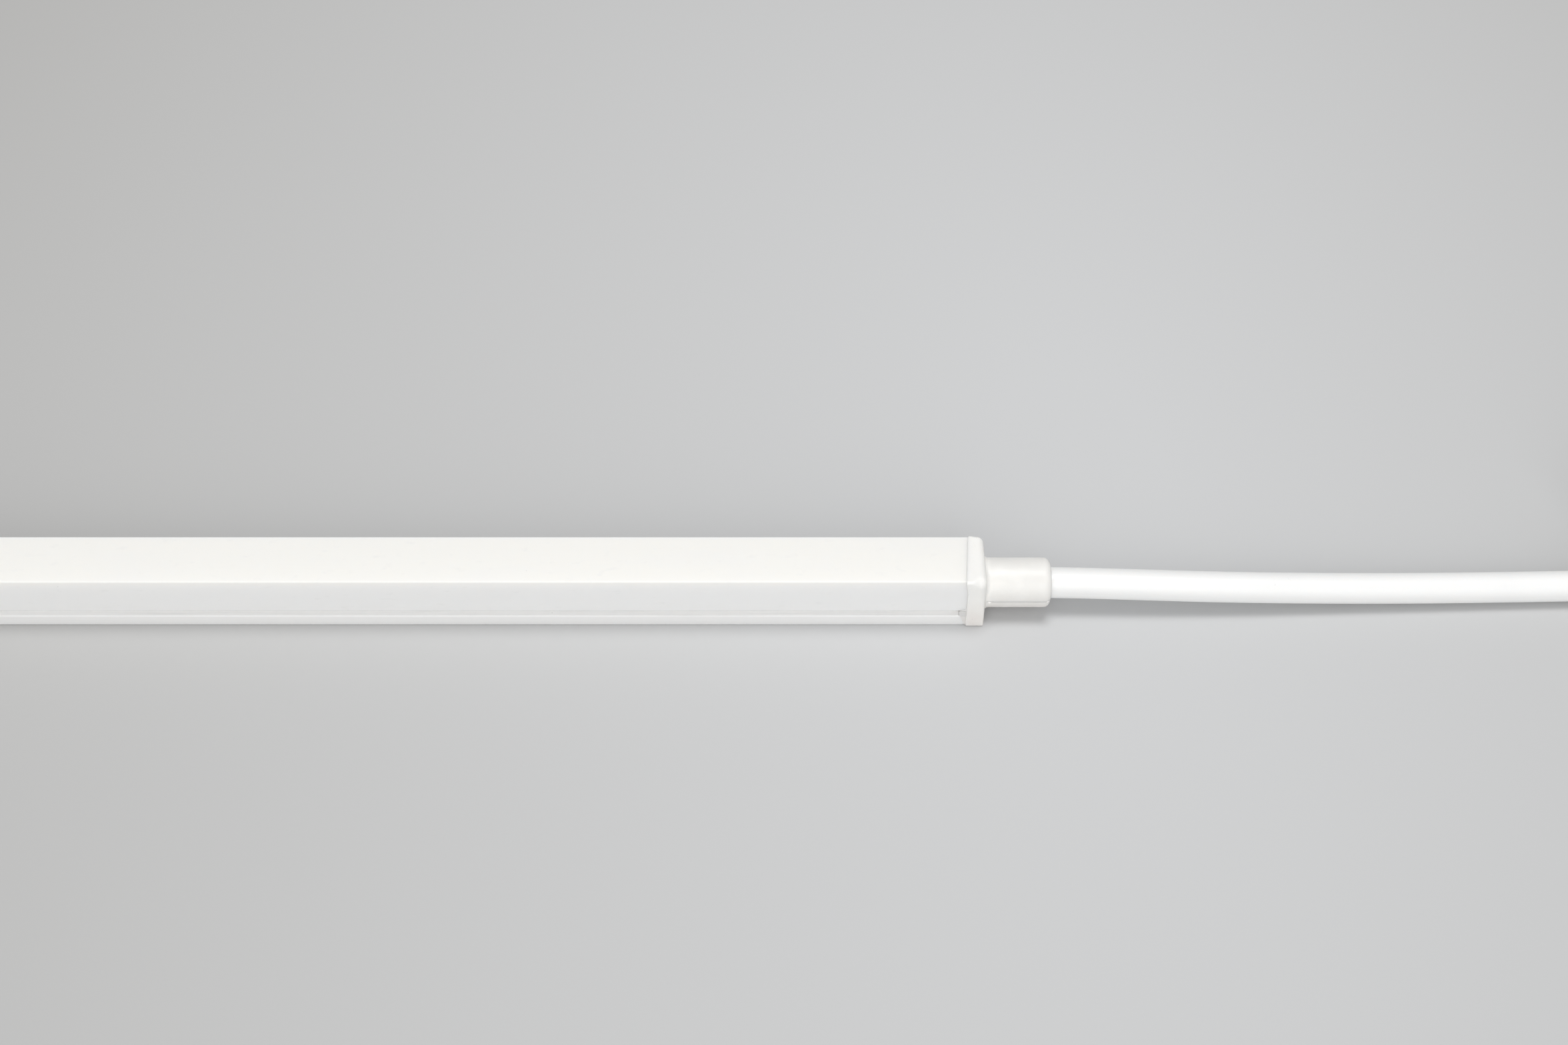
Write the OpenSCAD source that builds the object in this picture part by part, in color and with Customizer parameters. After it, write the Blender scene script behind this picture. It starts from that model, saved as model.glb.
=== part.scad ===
// Soft silicone LED light tube, laid straight, with its moulded lead end, its blank end,
// the strip of lights inside, and a free lead that is folded into a tied hank and ends in
// a screw-collar connector. Millimetres, +X towards the lead, +Z up, resting on z = 0.

/* [Tube] */
// Length of the silicone profile, in whole cutting units
tube_l = 300; // [100:25:1000]
// Width of the profile
tube_w = 12; // [11.6:0.1:14]
// Height of the profile
tube_h = 13; // [12:0.1:16]
// Radius of the long top edges
top_edge_r = 0.4; // [0.2:0.1:1]
// Height of the base flange below the clip grooves
flange_h = 2.8; // [2:0.1:3.2]
// Height of the opening of each clip groove
groove_h = 1.5; // [1.2:0.1:2]
// Depth of each clip groove
groove_d = 1.3; // [0.8:0.1:1.4]
// Thickness of the light-giving top
top_t = 2.4; // [1.5:0.1:3.5]
// Thickness of the walls of the inner channel
channel_t = 0.6; // [0.5:0.1:0.8]
// Thickness of the inner channel's floor above the groove
floor_t = 0.8; // [0.6:0.1:1.5]

/* [Light strip] */
// Length of one cutting unit
unit_l = 25; // [25:25:50]
// Lights in each cutting unit
unit_leds = 3; // [2:1:3]
// Width of the flexible board
board_w = 8; // [7:0.5:8]
// Thickness of the flexible board
board_t = 0.2; // [0.15:0.05:0.3]
// Thickness of the adhesive tape under the board
tape_t = 0.15; // [0.1:0.05:0.2]
// Size of a light package along, across and up
led_size = [2.8, 3.5, 0.7];
// Size of the phosphor pocket in a light package
phosphor_size = [2.1, 2.8, 0.4];
// Size of a chip resistor
resistor_size = [1.25, 2, 0.5];
// Size of one half of a solder pad pair
pad_size = [2.4, 2, 0.05];

/* [End caps] */
// Thickness of each cap along the tube
cap_l = 4.2; // [3:0.1:8]
// How far a cap stands proud at each side
cap_proud = 0.4; // [0.2:0.1:0.6]
// Radius of a cap's upper edges
cap_edge_r = 1.4; // [0.6:0.1:2]
// Length of the cap's keys in the clip grooves
key_l = 1.4; // [1:0.1:4]
// Length of the round boot
boot_l = 13.2; // [8:0.1:25]
// Diameter of the boot
boot_d = 10; // [9:0.1:11]
// Height of the boot's axis
boot_z = 6; // [5.6:0.1:6.4]
// Radius of the boot's far edge
boot_edge_r = 1.2; // [0.5:0.1:1.4]
// Depth of the silicone seal inside each end
seal_l = 2.5; // [1:0.1:2.5]

/* [Lead] */
// Diameter of the silicone jacket
lead_d = 6.2; // [5:0.1:6.4]
// Diameter of an insulated core
core_d = 1.9; // [1.4:0.1:2]
// Diameter of a bare stranded conductor
strand_d = 0.9; // [0.6:0.1:1]
// Distance between the two cores' axes
core_gap = 2.8; // [2.2:0.1:3]

// How far from the boot the lead has sunk onto the surface
settle_l = 115; // [80:5:140]

/* [Hank] */
// Radius of the fold, at the middle of the lead
fold_r = 18.6; // [18.6:0.1:25]
// Distance from the waist to the centre of the fold
fold_reach = 44; // [40:1:70]
// Length of the waist, where the two runs lie side by side
waist_l = 12; // [10:1:20]
// Width and thickness of the cable tie's strap
tie_size = [2.5, 1];
// Size of the cable tie's head along, across and up
tie_head = [4.4, 3, 4.6];

/* [Connector] */
// Diameter of the coupling nut
nut_d = 17; // [16:0.1:20]
// Length of the coupling nut
nut_l = 14; // [13:0.1:18]
// Diameter of the nut's mouth
nut_bore = 13.2; // [13:0.1:14]
// Grip grooves around the nut
nut_ribs = 18; // [12:1:24]
// Diameter of the grip
grip_d = 13.4; // [12:0.1:15]
// Length of the grip
grip_l = 13.7; // [10:0.1:20]
// Length of the tapered strain relief
relief_l = 14; // [10:0.5:20]
// Running clearance of the nut
nut_gap = 0.3; // [0.3:0.05:0.5]
// Diameter of a contact pin
pin_d = 1.2; // [1:0.1:1.5]

/* [Hidden] */
$fn = 48;
eps = 0.01;
tube_x1 = cap_l + tube_l - (tube_l + 2 * cap_l + boot_l) / 2;
tube_x0 = tube_x1 - tube_l;
cap_x1 = tube_x1 + cap_l;
boot_x1 = cap_x1 + boot_l;
wall_y = tube_w / 2 - groove_d;
wall_z = flange_h + groove_h;
room_y = wall_y - channel_t;
floor_z = wall_z + floor_t;
room_z = tube_h - top_t;
tape_z = floor_z;
board_z = tape_z + tape_t;
copper_z = board_z + board_t;
units = floor(tube_l / unit_l);
led_pitch = unit_l / unit_leds;
strand_z = boot_z;
strand_out = 0.4;
solder_w = 1.8;
solder_cover = 0.2;
solder_gap = 0.3;
inlet_x0 = cap_x1 + 1;
// The lead's run: how far past the boot each point is, and how far it lies to one side.
run_points = [
    [0, 0], [7.2, -0.11], [15.2, -0.27], [23.2, -0.35], [31.2, -0.36], [39.2, -0.27],
    [48.2, -0.07], [58.2, 0.18], [69.2, 0.49], [81.2, 0.86], [93.2, 1.22], [105.2, 1.56],
    [117.2, 1.85], [129.2, 2], [141.2, 2], [153.2, 2], [165.2, 2], [177.2, 2], [189.2, 2]
];
run_end = run_points[len(run_points) - 1];
tail_l = 32;
tail_steps = 8;
lying_z = lead_d / 2;
waist_z = lying_z + tie_size[1];
hank_x = boot_x1 + run_end[0];
hank_y = run_end[1] + lead_d / 2;
hank_h = lead_d + tie_size[1];
tie_x = hank_x + 4;
end_y = hank_y + nut_d / 2;
end_z = nut_d / 2;
relief_x1 = hank_x - tail_l;
grip_x1 = relief_x1 - relief_l;
grip_x0 = grip_x1 - grip_l;
nut_x1 = grip_x0 - nut_gap;
nut_x0 = nut_x1 - nut_l;
lip_t = 2;
collar_x1 = nut_x1 - lip_t - nut_gap;
collar_t = 2.2;
collar_d = nut_bore - 2 * nut_gap;
neck_d = 10.2;
shroud_bore = 8;
shroud_x0 = nut_x0 + 4.8;
insert_x0 = shroud_x0 + 3.4;
pin_x0 = shroud_x0 + 0.6;
pin_x1 = collar_x1 + 4;
pin_pitch = 3.4;
seal_t = 1;
seal_proud = 0.7;
seal_sunk = 0.5;

// A box from one corner to the other.
module block(low, high) {
    translate(low) cube(high - low);
}

// A rod along X between two places, on the axis y, z.
module rod(x0, x1, d, y = 0, z = 0) {
    translate([x0, y, z]) rotate([0, 90, 0]) cylinder(h = x1 - x0, d = d);
}

// A rectangle on the y, z plane with its two upper corners rounded.
module arch_outline(w, h, r) {
    translate([-w / 2, 0]) square([w, h - r]);
    translate([-w / 2 + r, 0]) square([w - 2 * r, h]);
    for (side = [-1, 1]) translate([side * (w / 2 - r), h - r]) circle(r = r);
}

// Extrudes an outline of the y, z plane along X.
module along_x(x0, x1) {
    translate([x0, 0, 0]) rotate([90, 0, 90]) linear_extrude(x1 - x0) children();
}

// Outer milky shell: the light-giving top and the two side faces.
module diffuser_shell() {
    color([0.96, 0.96, 0.94]) difference() {
        along_x(tube_x0, tube_x1) arch_outline(tube_w, tube_h, top_edge_r);
        block([tube_x0 - 1, -tube_w, -1], [tube_x1 + 1, tube_w, wall_z]);
        block([tube_x0 - 1, -wall_y, 0], [tube_x1 + 1, wall_y, room_z]);
    }
}

// Opaque white channel that holds the light strip; its foot is the wall of the grooves.
module inner_channel() {
    color([0.9, 0.9, 0.9]) difference() {
        block([tube_x0, -wall_y, flange_h], [tube_x1, wall_y, room_z]);
        block([tube_x0 - 1, -room_y, floor_z], [tube_x1 + 1, room_y, tube_h]);
    }
}

// Flat base strip below the grooves.
module base_flange() {
    color([0.86, 0.86, 0.86])
        block([tube_x0, -tube_w / 2, 0], [tube_x1, tube_w / 2, flange_h]);
}

module board_tape() {
    color([0.75, 0.72, 0.6])
        block([tube_x0, -board_w / 2, tape_z], [tube_x1, board_w / 2, board_z]);
}

module led_board() {
    color([0.93, 0.93, 0.9])
        block([tube_x0, -board_w / 2, board_z], [tube_x1, board_w / 2, copper_z]);
}

// Puts its children at the middle of every light.
module at_leds() {
    for (i = [0 : units * unit_leds - 1])
        translate([tube_x0 + (i + 0.5) * led_pitch, 0, copper_z]) children();
}

module led_packages() {
    pocket_z = led_size[2] - phosphor_size[2];
    color([0.95, 0.95, 0.92]) at_leds() difference() {
        translate([-led_size[0] / 2, -led_size[1] / 2, 0]) cube(led_size);
        translate([-phosphor_size[0] / 2, -phosphor_size[1] / 2, pocket_z])
            cube(phosphor_size + [0, 0, 1]);
    }
}

module led_phosphors() {
    pocket_z = led_size[2] - phosphor_size[2];
    color([0.93, 0.8, 0.3]) at_leds()
        translate([-phosphor_size[0] / 2, -phosphor_size[1] / 2, pocket_z])
            cube(phosphor_size);
}

// One chip resistor in each cutting unit, between its first two lights.
module resistors() {
    color([0.12, 0.12, 0.12]) for (i = [0 : units - 1])
        translate([tube_x0 + i * unit_l + led_pitch, 0, copper_z])
            translate([-resistor_size[0] / 2, -resistor_size[1] / 2, 0]) cube(resistor_size);
}

// A pair of pads on each side of every cut line.
module solder_pads() {
    color([0.8, 0.52, 0.3]) for (i = [0 : units], side = [-1, 1]) {
        x = tube_x0 + i * unit_l;
        low = max(x - pad_size[0], tube_x0);
        high = min(x + pad_size[0], tube_x1);
        translate([low, side * core_gap / 2 - pad_size[1] / 2, copper_z])
            cube([high - low, pad_size[1], pad_size[2]]);
    }
}

module strands() {
    for (side = [-1, 1])
        rod(tube_x1 - pad_size[0], tube_x1 + strand_out, strand_d, side * core_gap / 2,
            strand_z);
}

module core_strands() {
    color([0.85, 0.5, 0.3]) strands();
}

// Solder over the ends of the strands, on the last pair of pads.
module solder_joints() {
    color([0.75, 0.75, 0.78]) difference() {
        for (side = [-1, 1])
            block([tube_x1 - pad_size[0], (side * core_gap - solder_w) / 2,
                    copper_z + pad_size[2]],
                [tube_x1 - solder_gap, (side * core_gap + solder_w) / 2,
                    strand_z + strand_d / 2 + solder_cover]);
        strands();
    }
}

module cores(side) {
    rod(tube_x1 + strand_out, boot_x1, core_d, side * core_gap / 2, strand_z);
}

module core_positive() {
    color([0.8, 0.1, 0.1]) cores(1);
}

module core_negative() {
    color([0.1, 0.1, 0.1]) cores(-1);
}

// The end of the lead's jacket that the boot is moulded over.
module lead_inlet() {
    color([0.97, 0.97, 0.96]) difference() {
        rod(inlet_x0, boot_x1, lead_d, 0, boot_z);
        for (side = [-1, 1]) cores(side);
    }
}

// A cap's block with rounded upper edges, and its keys in the clip grooves.
module cap_block(x0, x1, key_x0, key_x1) {
    along_x(x0, x1) arch_outline(tube_w + 2 * cap_proud, tube_h, cap_edge_r);
    for (side = [-1, 1])
        block([key_x0, side < 0 ? -tube_w / 2 : wall_y, flange_h],
            [key_x1, side < 0 ? -wall_y : tube_w / 2, wall_z]);
}

// The boot: a straight rod with a rounded far edge.
module boot() {
    translate([cap_x1, 0, boot_z]) rotate([0, 90, 0]) rotate_extrude() {
        square([boot_d / 2 - boot_edge_r, boot_l]);
        square([boot_d / 2, boot_l - boot_edge_r]);
        translate([boot_d / 2 - boot_edge_r, boot_l - boot_edge_r]) circle(r = boot_edge_r);
    }
}

module feed_cap() {
    color([0.95, 0.95, 0.93, 0.9]) difference() {
        union() {
            cap_block(tube_x1, cap_x1, tube_x1 - key_l, tube_x1);
            boot();
        }
        rod(inlet_x0, boot_x1 + 1, lead_d, 0, boot_z);
        strands();
        for (side = [-1, 1]) cores(side);
    }
}

module blank_cap() {
    color([0.95, 0.95, 0.93, 0.9])
        cap_block(tube_x0 - cap_l, tube_x0, tube_x0, tube_x0 + key_l);
}

// Sealant in one end of the light chamber, moulded round what it meets.
module sealant(x0, x1) {
    difference() {
        block([x0, -room_y, floor_z], [x1, room_y, room_z]);
        block([x0 - 1, -board_w / 2, 0], [x1 + 1, board_w / 2, copper_z]);
        children();
    }
}

module feed_sealant() {
    color([0.9, 0.92, 0.94, 0.7]) sealant(tube_x1 - seal_l, tube_x1) {
        solder_pads();
        strands();
        solder_joints();
    }
}

module blank_sealant() {
    color([0.9, 0.92, 0.94, 0.7]) sealant(tube_x0, tube_x0 + seal_l) solder_pads();
}

// Goes smoothly from 0 to 1 as t does.
function smooth(t) = let (s = min(max(t, 0), 1)) s * s * (3 - 2 * s);

// Height that is left of a stiff strip's start, at a share t of the way to where it lies.
function sagged(t) = let (s = min(t, 1)) 1 - 6 * pow(s, 2) + 8 * pow(s, 3) - 3 * pow(s, 4);

// Height of the run's middle: it sinks from the boot, then climbs onto the tie's strap.
function run_z(far) = lying_z + (boot_z - lying_z) * sagged(far / settle_l)
    + tie_size[1] * smooth((far - run_end[0]) / 36 + 1);

lead_route = [for (p = run_points) [boot_x1 + p[0], p[1], run_z(p[0])]];

// The tail leaves the waist's other run and swings to the connector's axis.
tail_route = [for (i = [0 : tail_steps])
    let (t = i / tail_steps, low = [run_end[1] + lead_d, waist_z], high = [end_y, end_z])
    [hank_x - tail_l * t, each low + (high - low) * smooth(t)]];

// Points of a ring of the lead at one place of its route, square to the x, y, z direction.
function unit(v) = v / norm(v);
function heading(route, i) =
    unit(route[min(i + 1, len(route) - 1)] - route[max(i - 1, 0)]);
function ring_heading(route, i) =
    i == 0 || i == len(route) - 1 ? [sign(heading(route, i)[0]), 0, 0] : heading(route, i);
function ring(route, i, sides) =
    let (t = ring_heading(route, i), across = unit(cross([0, 0, 1], t)), up = cross(t, across))
    [for (k = [0 : sides - 1])
        route[i] + lead_d / 2 * (cos(360 * k / sides) * across + sin(360 * k / sides) * up)];

// A closed tube swept along a route.
module swept_lead(route, sides = 12) {
    rings = len(route);
    points = [for (i = [0 : rings - 1]) each ring(route, i, sides)];
    walls = [for (i = [0 : rings - 2], k = [0 : sides - 1])
        [i * sides + k, i * sides + (k + 1) % sides,
            (i + 1) * sides + (k + 1) % sides, (i + 1) * sides + k]];
    first = [for (k = [sides - 1 : -1 : 0]) k];
    last = [for (k = [0 : sides - 1]) (rings - 1) * sides + k];
    polyhedron(points, concat([first], walls, [last]));
}

module lead_run() {
    color([0.98, 0.98, 0.97]) swept_lead(lead_route);
}

module lead_tail() {
    color([0.98, 0.98, 0.97]) swept_lead(tail_route);
}

// Outline of the hank seen from above: the waist, then the fold.
module hank_outline() {
    outer_r = fold_r + lead_d / 2;
    fold_x = waist_l + fold_reach;
    lean = asin((outer_r - lead_d) / fold_reach);
    touch = [fold_x - outer_r * sin(lean), outer_r * cos(lean)];
    translate([0, -lead_d]) square([waist_l, 2 * lead_d]);
    polygon([[waist_l, -lead_d], [touch[0], -touch[1]], touch, [waist_l, lead_d]]);
    translate([fold_x, 0]) circle(r = outer_r, $fn = 96);
}

module tie_strap() {
    band = tie_size[1];
    block([tie_x, hank_y - lead_d - band, 0],
        [tie_x + tie_size[0], hank_y + lead_d + band, hank_h + band]);
}

module lead_hank() {
    color([0.98, 0.98, 0.97]) difference() {
        translate([hank_x, hank_y, 0]) linear_extrude(hank_h) hank_outline();
        block([tie_x, hank_y - 2 * lead_d, -1],
            [tie_x + tie_size[0], hank_y + 2 * lead_d, tie_size[1]]);
    }
}

// Cable tie: its strap round the waist, its head on top and its cut tail.
module cable_tie() {
    band = tie_size[1];
    head_x = tie_x + (tie_size[0] - tie_head[0]) / 2;
    color([0.9, 0.9, 0.88]) {
        difference() {
            tie_strap();
            block([tie_x - 1, hank_y - lead_d, band],
                [tie_x + tie_size[0] + 1, hank_y + lead_d, hank_h]);
        }
        block([head_x, hank_y - tie_head[1] / 2, hank_h],
            [head_x + tie_head[0], hank_y + tie_head[1] / 2, hank_h + tie_head[2]]);
    }
}

// Shell of the connector: grip, neck, collar and the shroud round the pins.
module connector_body() {
    color([0.93, 0.93, 0.92]) difference() {
        union() {
            rod(grip_x0, grip_x1, grip_d, end_y, end_z);
            rod(shroud_x0, grip_x0 + eps, neck_d, end_y, end_z);
            rod(collar_x1 - collar_t, collar_x1, collar_d, end_y, end_z);
        }
        rod(shroud_x0 - 1, collar_x1, shroud_bore, end_y, end_z);
        pins();
        seal_ring();
    }
}

// Tapered strain relief behind the grip, with flexing grooves.
module connector_relief() {
    relief_d0 = 11;
    relief_d1 = 8.6;
    grooves = 3;
    groove_w = 1;
    wall_t = 0.7;
    color([0.93, 0.93, 0.92]) difference() {
        translate([grip_x1, end_y, end_z]) rotate([0, 90, 0])
            cylinder(h = relief_l, d1 = relief_d0, d2 = relief_d1);
        for (i = [1 : grooves])
            translate([grip_x1 + i * relief_l / (grooves + 1) - groove_w / 2, end_y, end_z])
                rotate([0, 90, 0]) difference() {
                    cylinder(h = groove_w, d = relief_d0 + 1);
                    translate([0, 0, -1]) cylinder(h = groove_w + 2, d = lead_d + 2 * wall_t);
                }
    }
}

module pins() {
    for (side = [-1, 1])
        rod(pin_x0, pin_x1, pin_d, end_y + side * pin_pitch / 2, end_z);
}

module contact_pins() {
    color([0.85, 0.7, 0.35]) pins();
}

module connector_insert() {
    color([0.15, 0.15, 0.16]) difference() {
        rod(insert_x0, collar_x1, shroud_bore, end_y, end_z);
        pins();
    }
}

// Sealing ring in its groove on the shroud, in front of the collar.
module seal_ring() {
    translate([collar_x1 - collar_t - seal_t, end_y, end_z]) rotate([0, 90, 0])
        difference() {
            cylinder(h = seal_t, d = neck_d + 2 * seal_proud);
            translate([0, 0, -1]) cylinder(h = seal_t + 2, d = neck_d - 2 * seal_sunk);
        }
}

module connector_seal() {
    color([0.8, 0.35, 0.15]) seal_ring();
}

// Coupling nut: a free-turning collar held by its lip behind the connector's collar.
module coupling_nut() {
    grip_groove_d = 1.4;
    grip_groove_sink = 0.2;
    plain_l = 2;
    color([0.93, 0.93, 0.92]) translate([nut_x0, end_y, end_z]) rotate([0, 90, 0]) difference() {
        cylinder(h = nut_l, d = nut_d, $fn = 96);
        translate([0, 0, -1]) cylinder(h = nut_l - lip_t + 1, d = nut_bore);
        translate([0, 0, -1]) cylinder(h = nut_l + 2, d = neck_d + 2 * nut_gap);
        for (i = [0 : nut_ribs - 1]) rotate((i + 0.5) * 360 / nut_ribs)
            translate([nut_d / 2 + grip_groove_sink, 0, plain_l])
                cylinder(h = nut_l - 2 * plain_l, d = grip_groove_d);
    }
}

diffuser_shell();
inner_channel();
base_flange();
led_board();
board_tape();
led_packages();
led_phosphors();
resistors();
solder_pads();
solder_joints();
feed_cap();
feed_sealant();
blank_cap();
blank_sealant();
core_positive();
core_negative();
core_strands();
lead_inlet();
lead_run();
lead_hank();
lead_tail();
cable_tie();
connector_body();
connector_relief();
connector_insert();
contact_pins();
connector_seal();
coupling_nut();
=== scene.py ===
"""A soft silicone LED light tube on a pale floor, with its moulded lead end, its lead, the tied
hank that the lead is folded into, and the screw-collar connector on the lead's end.

Laid out as a Blender add-on: property groups hold the sizes and colours, one operator makes each
piece or group of like pieces, and a sidebar panel lists them. Lengths are in metres.
"""
import math

import bmesh
import bpy
import numpy as np
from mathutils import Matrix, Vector


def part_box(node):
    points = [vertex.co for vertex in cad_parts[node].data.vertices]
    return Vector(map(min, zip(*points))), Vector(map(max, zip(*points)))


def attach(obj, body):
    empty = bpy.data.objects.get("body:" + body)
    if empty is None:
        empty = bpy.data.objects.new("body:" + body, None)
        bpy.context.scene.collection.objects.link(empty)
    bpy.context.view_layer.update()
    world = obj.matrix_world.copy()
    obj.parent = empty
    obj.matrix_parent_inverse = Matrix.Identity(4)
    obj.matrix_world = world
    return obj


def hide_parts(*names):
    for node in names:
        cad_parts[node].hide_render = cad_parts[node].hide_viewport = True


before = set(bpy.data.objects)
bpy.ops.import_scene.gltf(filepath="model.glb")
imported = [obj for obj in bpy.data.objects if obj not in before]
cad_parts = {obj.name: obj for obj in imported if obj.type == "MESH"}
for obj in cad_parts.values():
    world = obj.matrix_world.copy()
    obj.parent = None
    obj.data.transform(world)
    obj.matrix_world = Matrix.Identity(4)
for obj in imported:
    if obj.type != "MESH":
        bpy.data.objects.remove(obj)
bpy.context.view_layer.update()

bl_info = {
    "name": "LED Light Tube",
    "version": (1, 0, 0),
    "blender": (4, 5, 0),
    "location": "View3D > Sidebar > Light Tube",
    "description": "Builds the looks of a silicone LED light tube around its packed model",
    "category": "Add Mesh",
}

MM = 0.001
TUBE_BODY = "tube"
NUT_BODY = "coupling_nut"

SHELL_LOW, SHELL_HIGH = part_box("diffuser_shell")
CHANNEL_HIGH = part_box("inner_channel")[1]
FLANGE_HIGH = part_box("base_flange")[1]
BLANK_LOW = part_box("blank_cap")[0]
FEED_LOW, FEED_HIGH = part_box("feed_cap")
INLET_LOW, INLET_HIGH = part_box("lead_inlet")
HANK_LOW, HANK_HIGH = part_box("lead_hank")
TIE_LOW, TIE_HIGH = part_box("cable_tie")
GRIP_LOW, GRIP_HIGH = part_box("connector_body")
RELIEF_LOW, RELIEF_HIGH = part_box("connector_relief")
INSERT_LOW, INSERT_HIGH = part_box("connector_insert")
PINS_LOW, PINS_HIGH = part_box("contact_pins")
RING_LOW, RING_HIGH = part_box("connector_seal")
NUT_LOW, NUT_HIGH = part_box("coupling_nut")

LEAD_DIAMETER = INLET_HIGH.y - INLET_LOW.y
BOOT_AXIS = (INLET_LOW.z + INLET_HIGH.z) / 2
NUT_AXIS = ((NUT_LOW.y + NUT_HIGH.y) / 2, (NUT_LOW.z + NUT_HIGH.z) / 2)
BOOT_LENGTH = 13.2 * MM
BOOT_FACE = FEED_HIGH.x - BOOT_LENGTH

# Edges sharper than these many degrees stay sharp, on silicone and on the connector.
SHARP_ANGLE = 38
CRISP_ANGLE = 32


# ---------------------------------------------------------------- sizes and colours

def length_of(name, description, default):
    """A property that holds a length."""
    return bpy.props.FloatProperty(name=name, description=description, default=default,
                                   unit="LENGTH")


def amount_of(name, description, default):
    """A property that holds a plain number."""
    return bpy.props.FloatProperty(name=name, description=description, default=default)


def colour_of(name, description, default):
    """A property that holds a colour."""
    return bpy.props.FloatVectorProperty(name=name, description=description,
                                         default=default, subtype="COLOR")


class LightTubeProfile(bpy.types.PropertyGroup):
    """Edges and colours of the silicone profile."""
    top_edge: length_of("Top edge", "Radius of the long top edges", 0.3 * MM)
    small_edge: length_of(
        "Small edges", "Radius of the groove's and the base's edges", 0.22 * MM)
    inner_edge: length_of("Inner edges", "Radius of the edges inside the profile", 0.1 * MM)
    milky: colour_of(
        "Milky silicone", "Colour of the light-giving shell", (0.92, 0.914, 0.9))
    opaque: colour_of(
        "Opaque silicone", "Colour of the channel and the base", (0.865, 0.862, 0.852))


class LightTubeCaps(bpy.types.PropertyGroup):
    """Edges and colour of the two end caps and the boot."""
    joint_edge: length_of(
        "Upper edges at the joint", "Radius of a cap's upper edges where it meets the tube",
        0.5 * MM)
    front_edge: length_of("Front edge", "Radius of a cap's upper edge in front", 2.0 * MM)
    back_edge: length_of("Back edge", "Radius of a cap's upper edge at the back", 0.95 * MM)
    foot_edge: length_of("Lower edges", "Radius of a cap's long lower edges", 0.35 * MM)
    face_edge: length_of("End edge", "Radius round a cap's end face at the top", 1.4 * MM)
    face_foot_edge: length_of(
        "End edge, low", "Radius round a cap's end face near the surface", 0.3 * MM)
    fillet: length_of("Boot fillet", "Radius of the hollow between cap and boot", 1.0 * MM)
    boot_radius: length_of("Boot radius", "Radius of the boot", 5.0 * MM)
    boot_edge: length_of("Boot edge", "Radius of the boot's far edge", 1.3 * MM)
    colour: colour_of("Cap silicone", "Colour of the moulded caps", (0.935, 0.922, 0.89))


class LightTubeLead(bpy.types.PropertyGroup):
    """The free lead: its real length, the fold of its hank and its colour."""
    length: length_of("Length", "Length of the lead from the boot to the connector", 0.4)
    diameter: length_of("Diameter", "Diameter of the jacket", LEAD_DIAMETER)
    fold: length_of(
        "Fold radius", "Radius of the hank's fold at its centreline", 18.6 * MM)
    colour: colour_of("Jacket", "Colour of the lead's jacket", (0.905, 0.905, 0.895))


class LightTubeConnector(bpy.types.PropertyGroup):
    """Ribs and colours of the connector."""
    nut_ribs: bpy.props.IntProperty(
        name="Nut ribs", description="Grip ribs round the coupling nut", default=18,
        min=6)
    grip_ribs: bpy.props.IntProperty(
        name="Grip ribs", description="Shallow ribs round the grip", default=12, min=4)
    thread_pitch: length_of(
        "Thread pitch", "Pitch of the thread in the nut's mouth", 1.5 * MM)
    colour: colour_of("Shell", "Colour of the moulded connector", (0.82, 0.82, 0.80))


class LightTubeStage(bpy.types.PropertyGroup):
    """The floor, the camera and the lights."""
    floor_colour: colour_of("Floor", "Colour of the floor", (0.605, 0.61, 0.615))
    camera_rise: bpy.props.FloatProperty(
        name="Camera elevation", description="Angle of the camera above the floor",
        default=math.radians(47.11), subtype="ANGLE", unit="ROTATION")
    camera_distance: length_of(
        "Camera distance", "Distance from the camera to what it looks at", 0.4076)
    camera_lens: amount_of(
        "Lens", "Focal length in millimetres on a 36 mm wide sensor", 44.7)
    overhead_power: amount_of(
        "Overhead light", "Power of the soft overhead light in watts", 6.3)
    front_strength: amount_of(
        "Front light", "Strength of the wide light from the front", 1.25)
    fill: amount_of("Fill", "Strength of the even light from all round", 0.43)


def settings(name):
    """The property group with that name on the scene."""
    return getattr(bpy.context.scene, "light_tube_" + name)


# ---------------------------------------------------------------- surfaces

def ease(low, high, value):
    """A smooth step from 0 at low to 1 at high, as three t squared less two t cubed."""
    t = np.clip((np.asarray(value, float) - low) / (high - low), 0, 1)
    return t * t * (3 - 2 * t)


def ripple(x, seed, waves=6, low=1.0, high=9.0):
    """Smooth seeded roughness between about -1 and 1: a sum of sines of x with random
    frequencies and phases."""
    rng = np.random.default_rng(seed)
    rate = rng.uniform(low, high, waves)
    phase = rng.uniform(0, 2 * np.pi, waves)
    weight = rng.uniform(0.4, 1.0, waves)
    x = np.asarray(x, float)[..., None]
    return (np.sin(x * rate + phase) * weight).sum(-1) / weight.sum()


def quads(rows, cols, closed, first):
    """The faces of a grid of points whose first point has that number. They are wrapped
    round its columns, and round its rows too where closed is true."""
    r = np.arange(rows if closed else rows - 1)[:, None]
    c = np.arange(cols)[None, :]
    r2, c2 = (r + 1) % rows, (c + 1) % cols
    faces = np.stack([r * cols + c, r * cols + c2, r2 * cols + c2, r2 * cols + c], -1)
    return (faces.reshape(-1, 4) + first).tolist()


def put(name, data):
    """A new object on the scene that holds the data."""
    made = bpy.data.objects.new(name, data)
    bpy.context.scene.collection.objects.link(made)
    return made


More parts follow.
